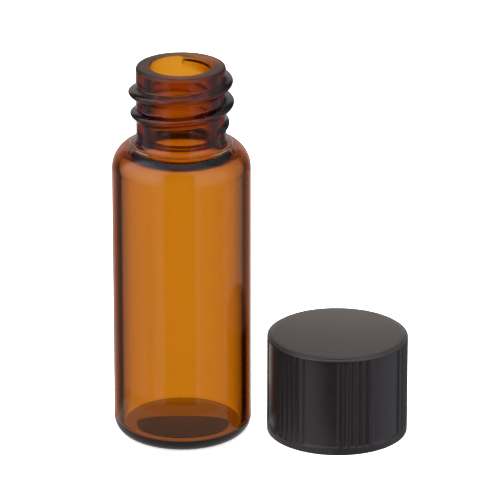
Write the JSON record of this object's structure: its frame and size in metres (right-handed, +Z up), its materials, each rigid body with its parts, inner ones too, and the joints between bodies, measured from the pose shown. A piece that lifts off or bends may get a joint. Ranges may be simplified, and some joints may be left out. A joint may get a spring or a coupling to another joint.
{
  "type": "glass sample vial",
  "caption": "Amber glass sample vial with a screw neck, open, beside its black ribbed screw cap with a liner.",
  "frame": {"origin": "centre of the vial's base, on the plane that it stands on", "axes": "+Z up along the vial's axis to its mouth, +X from the vial to the cap that stands beside it, +Y to the back"},
  "size_m": [0.0249, 0.012, 0.0325],
  "materials": {
    "amber_glass": "clear amber borosilicate tubing glass, fire polished at the lip",
    "black_moulding": "black compression-moulded phenolic with a soft gloss",
    "liner_disc": "matte off-white elastomer disc"
  },
  "bodies": {
    "root": {"glass_vial": "amber_glass", "screw_cap": "black_moulding", "cap_liner": "liner_disc"}
  },
  "joints": []
}
